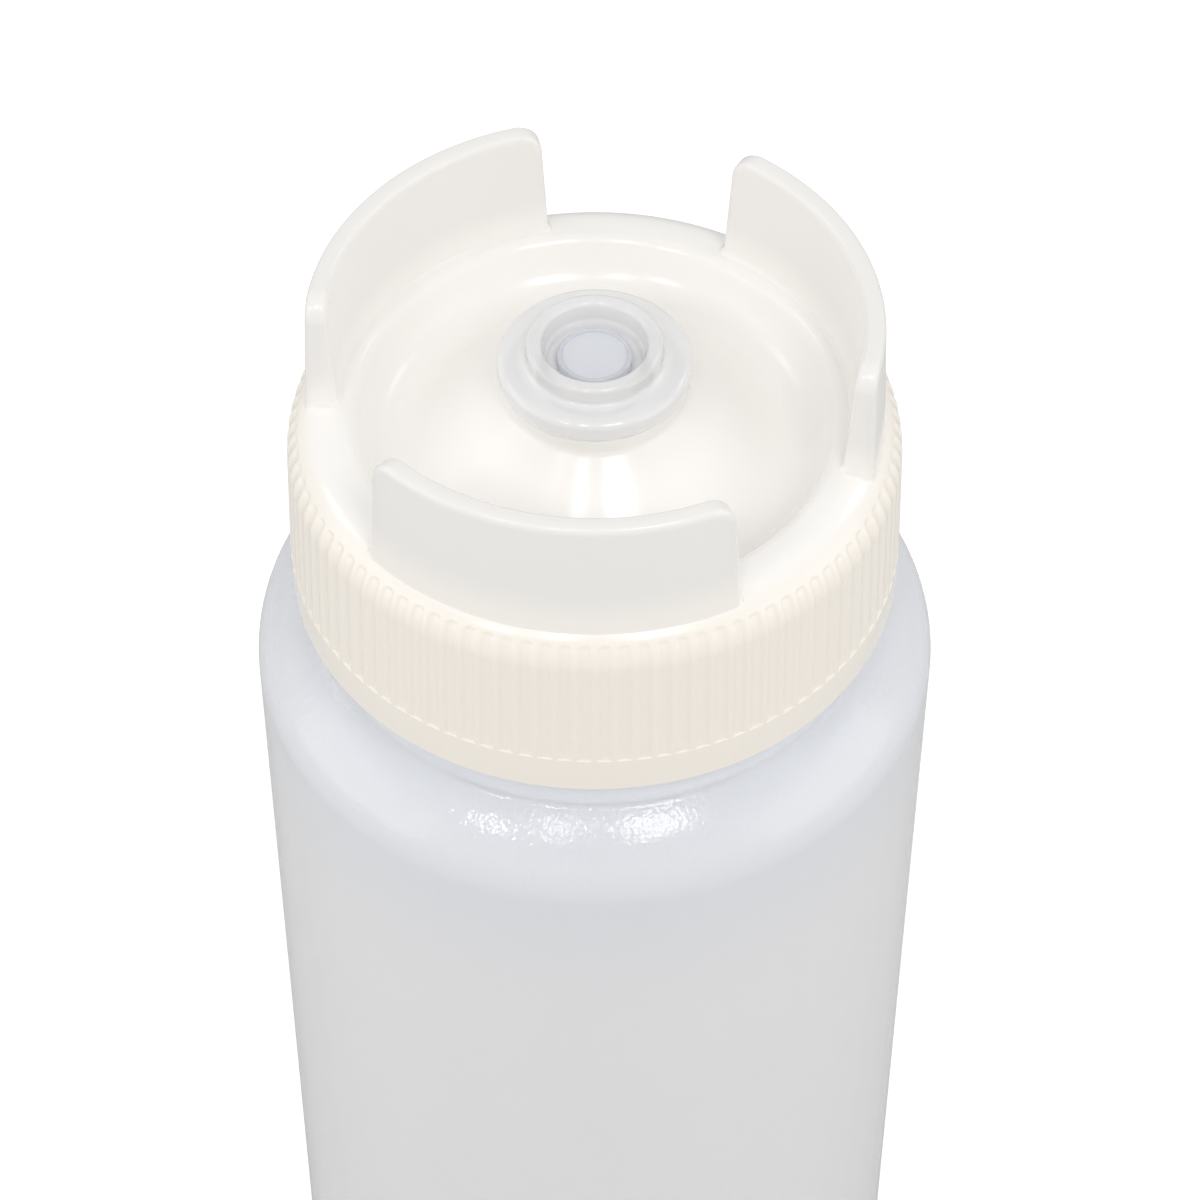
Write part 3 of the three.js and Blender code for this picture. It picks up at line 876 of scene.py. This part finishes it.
grown(screw_cap, sketch, {
    "Count": float(FLUTES), "Inner limit": (SKIRT_BORE + SMALL_ROUND) * MM, "Bottom": BAND_TOP * MM,
    "End": flute_end * MM, "End run": FLUTE_END_RUN * MM, "Arch": FLUTE_ARCH * MM,
    "Depth": FLUTE_DEPTH * MM, "Ledge rise": LEDGE_RISE * MM, "Floor share": FLUTE_FLOOR_SHARE,
    "Width share": FLUTE_WIDTH_SHARE, "Material": ivory_polypropylene,
})
report(screw_cap)

# %% [markdown]
# ## Tabs
# Each tab is a flat slab with rounded corners and edges that is then bent round the axis, so it is
# drawn flat, cut into upright strips and bent by a formula. Near the deck it spreads into a small
# fillet. A tree sets three copies round the cap. The real cap is one moulding, and meshes that only
# cross each other show a hard seam, so a union joins the tabs and the cap.

# %% Sizes of a tab, in millimetres
TAB_COUNT = 3
FIRST_TAB = math.radians(-100)
TAB_SETBACK = 1.4
TAB_LEAN = 0.7
TAB_BASE_THICKNESS = 3.6
TAB_TOP_THICKNESS = 2.2
TAB_BASE_LENGTH = 40.4
TAB_TOP_LENGTH = 38.8
TAB_EDGE = 0.85
TAB_CORNER = 2.8
TAB_FILLET = 0.5
tab_inner = WELL_RADIUS + TAB_SETBACK
tab_middle = tab_inner + TAB_BASE_THICKNESS / 2
tab_half = TAB_BASE_LENGTH / 2
print(f"a tab turns {math.degrees(TAB_BASE_LENGTH / tab_middle):.0f} degrees round the axis")


# %% How a tab is bent
def deck_height(radius):
    """Height of the cap's deck and shoulder at a radius."""
    out = min(max(0, radius - cap_shoulder[0]), CAP_SHOULDER)
    return cap_shoulder[1] + math.sqrt(CAP_SHOULDER ** 2 - out ** 2)


def bent(flat):
    """Takes a point of the flat slab, along, across its thickness and up, to its place on the cap."""
    along, across, height = flat
    climb = (height - DECK_UNDERSIDE) / (TAB_TOP - DECK_UNDERSIDE)
    thickness = TAB_BASE_THICKNESS + (TAB_TOP_THICKNESS - TAB_BASE_THICKNESS) * climb
    share = across / TAB_BASE_THICKNESS
    edge_radius = tab_inner + share * thickness + (2 * share - 1) * TAB_FILLET
    foot = min(1, max(0, (height - deck_height(edge_radius)) / TAB_FILLET))
    spread = TAB_FILLET * (1 - math.sqrt(1 - (1 - foot) ** 2))
    bearing = along * (1 + spread / tab_half) / tab_middle
    radius = tab_inner + TAB_LEAN * climb + share * thickness + (2 * share - 1) * spread
    return Vector((radius * math.cos(bearing), radius * math.sin(bearing), height))


print(f"a tab's inner face stands on the deck at {deck_height(tab_inner):.2f} mm")

# %% One tab, drawn flat and bent
TAB_STRIPS = 56
FILLET_STEPS = 6
EDGE_STEPS = 5
tab_bm = bmesh.new()
tab_front = rounded([
    (-tab_half, DECK_UNDERSIDE),
    (tab_half, DECK_UNDERSIDE),
    (TAB_TOP_LENGTH / 2, TAB_TOP, TAB_CORNER),
    (-TAB_TOP_LENGTH / 2, TAB_TOP, TAB_CORNER),
])
front_face = tab_bm.faces.new([tab_bm.verts.new((x, 0, z)) for x, z in tab_front])
pulled = bmesh.ops.extrude_face_region(tab_bm, geom=[front_face])["geom"]
for element in pulled:
    if isinstance(element, bmesh.types.BMVert):
        element.co.y = TAB_BASE_THICKNESS
rim_edges = [
    edge for edge in tab_bm.edges
    if edge.verts[0].co.y == edge.verts[1].co.y and max(v.co.z for v in edge.verts) > DECK_TOP
]
bmesh.ops.bevel(
    tab_bm, geom=rim_edges, offset=TAB_EDGE, segments=EDGE_STEPS, profile=0.5, affect="EDGES"
)
cuts = [((tab_half * (2 * i / TAB_STRIPS - 1), 0, 0), (1, 0, 0)) for i in range(1, TAB_STRIPS)]
fillet_low = deck_height(tab_inner + TAB_BASE_THICKNESS)
fillet_rise = DECK_TOP + TAB_FILLET - fillet_low
fillet_heights = [fillet_low + fillet_rise * i / FILLET_STEPS for i in range(FILLET_STEPS + 1)]
cuts += [((0, 0, height), (0, 0, 1)) for height in fillet_heights]
for point, way in cuts:
    everything = [*tab_bm.verts, *tab_bm.edges, *tab_bm.faces]
    bmesh.ops.bisect_plane(tab_bm, geom=everything, plane_co=point, plane_no=way)
for vert in tab_bm.verts:
    vert.co = bent(vert.co) * MM
bmesh.ops.recalc_face_normals(tab_bm, faces=tab_bm.faces)
cap_tabs = new_piece("cap_tabs", [], [], ivory_polypropylene)
tab_bm.to_mesh(cap_tabs.data)
report(cap_tabs)

# %% Three tabs round the cap
tab_inputs = {"Count": 1, "First angle": 1.0, "Material": ivory_polypropylene}
sketch, given = geometry_tree("tabs_round_cap", tab_inputs)
points = sketch.add("GeometryNodePoints", {}, {"Count": given["Count"]})
index = sketch.add("GeometryNodeInputIndex")
bearing = given["First angle"] + index * (2 * math.pi) / given["Count"]
facing = sketch.add("ShaderNodeCombineXYZ", {}, {"Z": bearing})
placed = sketch.add("GeometryNodeInstanceOnPoints", {}, {
    "Points": points, "Instance": given["Geometry"], "Rotation": facing,
})
finish_tree(sketch, placed, given["Material"])
grown(cap_tabs, sketch, {"Count": TAB_COUNT, "First angle": FIRST_TAB, "Material": ivory_polypropylene})
report(cap_tabs)

# %% Tabs and cap as one moulding
TAB_CREASE = math.radians(40)
union = screw_cap.modifiers.new("tabs", "BOOLEAN")
union.operation = "UNION"
union.solver = "MANIFOLD"
union.object = cap_tabs
keep_result(screw_cap)
bpy.data.objects.remove(cap_tabs)
screw_cap.data.set_sharp_from_angle(angle=TAB_CREASE)
report(screw_cap)
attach(screw_cap, "cap")
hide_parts("dispensing_cap")

# %% [markdown]
# ## Valve
# The valve is clear silicone that looks grey-blue against the ivory cap. Its flange lies on the boss, a
# collar stands round the mouth, and in the mouth hangs a thin disc with a cross slit. The disc's four
# petals ride on bodies of their own, so that they can lift when the bottle is squeezed. Flange and
# petals rest a hair above what carries them, because two faces in one plane flicker when the upper one
# is see-through.

# %% Valve sleeve
WAIST_RADIUS = 6.2
FLANGE_THICKNESS = 2.7
FLANGE_EDGE = 0.8
COLLAR_RADIUS = 7.25
COLLAR_TOP_EDGE = 0.6
MOUTH_RADIUS = 5.7
MOUTH_FLOOR = 5.0
LEDGE_RADIUS = 3.2
LEDGE_THICKNESS = 0.8
BORE_RADIUS = 4.5
TAIL_RADIUS = 8.5
TAIL_THICKNESS = 1.3
VALVE_COLUMNS = 144
SEAT_GAP = 0.03
valve_angles = evenly(VALVE_COLUMNS)
flange_top = BOSS_TOP + FLANGE_THICKNESS
tail_top = TAIL_BOTTOM + TAIL_THICKNESS
sleeve_outline = rounded([
    (BORE_RADIUS, TAIL_BOTTOM, SMALL_ROUND),
    (TAIL_RADIUS, TAIL_BOTTOM, TAIL_THICKNESS / 2),
    (TAIL_RADIUS, tail_top, SMALL_ROUND),
    (WAIST_RADIUS, tail_top, SMALL_ROUND),
    (WAIST_RADIUS, BOSS_TOP + SEAT_GAP, SMALL_ROUND),
    (FLANGE_RADIUS, BOSS_TOP + SEAT_GAP, FLANGE_EDGE),
    (FLANGE_RADIUS, flange_top, FLANGE_EDGE),
    (COLLAR_RADIUS, flange_top, COLLAR_TOP_EDGE),
    (COLLAR_RADIUS, COLLAR_TOP, COLLAR_TOP_EDGE),
    (MOUTH_RADIUS, COLLAR_TOP, COLLAR_TOP_EDGE),
    (MOUTH_FLOOR, LEDGE_TOP, SMALL_ROUND),
    (LEDGE_RADIUS, LEDGE_TOP, SMALL_ROUND),
    (LEDGE_RADIUS, LEDGE_TOP - LEDGE_THICKNESS, SMALL_ROUND),
    (BORE_RADIUS, LEDGE_TOP - LEDGE_THICKNESS, SMALL_ROUND),
])
valve_body = turned("valve_body", sleeve_outline, lambda index: valve_angles, clear_silicone)
report(valve_body)
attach(valve_body, "cap")
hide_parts("valve_sleeve")

# %% Petals of the slit disc
PETALS = 4
PETAL_RADIUS = 3.95
PETAL_RIM_HEIGHT = 1.25
PETAL_RIM_WIDTH = 0.5
PETAL_RIM_EDGE = 0.2
PETAL_CENTRE = 0.8
PETAL_CREASE = math.radians(50)
SLIT = 0.004
PETAL_COLUMNS = 30
petal_outline = rounded([
    (0, LEDGE_TOP + SEAT_GAP),
    (PETAL_RADIUS, LEDGE_TOP + SEAT_GAP),
    (PETAL_RADIUS, LEDGE_TOP + PETAL_RIM_HEIGHT, PETAL_RIM_EDGE),
    (PETAL_RADIUS - PETAL_RIM_WIDTH, LEDGE_TOP + PETAL_RIM_HEIGHT, PETAL_RIM_EDGE),
    (PETAL_RADIUS - PETAL_RIM_WIDTH, LEDGE_TOP + PETAL_CENTRE, PETAL_RIM_EDGE),
    (0, LEDGE_TOP + PETAL_CENTRE),
])


def petal(number):
    """A quarter of the disc: the outline swept over a quarter turn, with flat sides on the slits."""
    turn = (number - 1) * math.pi / 2
    corner = Vector((SLIT / 2, SLIT / 2, 0))
    points, columns = [], []
    poles = {}
    for step in range(PETAL_COLUMNS + 1):
        bearing = math.pi / 2 * step / PETAL_COLUMNS
        column = []
        for radius, height in petal_outline:
            if radius == 0 and height in poles:
                column.append(poles[height])
                continue
            if radius == 0:
                poles[height] = len(points)
            column.append(len(points))
            spot = Vector((radius * math.cos(bearing), radius * math.sin(bearing), height))
            points.append(spot + corner)
        columns.append(column)
    faces = [columns[0][::-1], columns[-1]]
    for before, after in zip(columns, columns[1:]):
        for i, j in zip(range(len(before) - 1), range(1, len(before))):
            faces.append(list(dict.fromkeys((before[i], after[i], after[j], before[j]))))
    turning = Matrix.Rotation(turn, 3, "Z")
    points = [turning @ point for point in points]
    obj = new_piece(f"disc_petal_{number}", points, faces, clear_silicone)
    obj.data.set_sharp_from_angle(angle=PETAL_CREASE)
    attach(obj, f"petal_{number}")
    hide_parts(f"valve_petal_{number}")
    return obj


for number in range(1, PETALS + 1):
    report(petal(number))

# %% [markdown]
# ## Sealing ring
# A thin ring of foam between the bottle's lip and the underside of the cap makes the cap tight. It is
# hidden while the cap is on, and shows from below when it is off.

# %% Gasket
GASKET_EDGE = 0.3
GASKET_COLUMNS = 144
gasket_angles = evenly(GASKET_COLUMNS)
gasket_outline = rounded([
    (NECK_BORE, gasket_low.z, GASKET_EDGE),
    (gasket_high.x, gasket_low.z, GASKET_EDGE),
    (gasket_high.x, gasket_high.z, GASKET_EDGE),
    (NECK_BORE, gasket_high.z, GASKET_EDGE),
])
sealing_ring = turned("sealing_ring", gasket_outline, lambda index: gasket_angles, seal_foam)
report(sealing_ring)
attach(sealing_ring, "gasket")
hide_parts("cap_gasket")

# %% [markdown] ## Finish
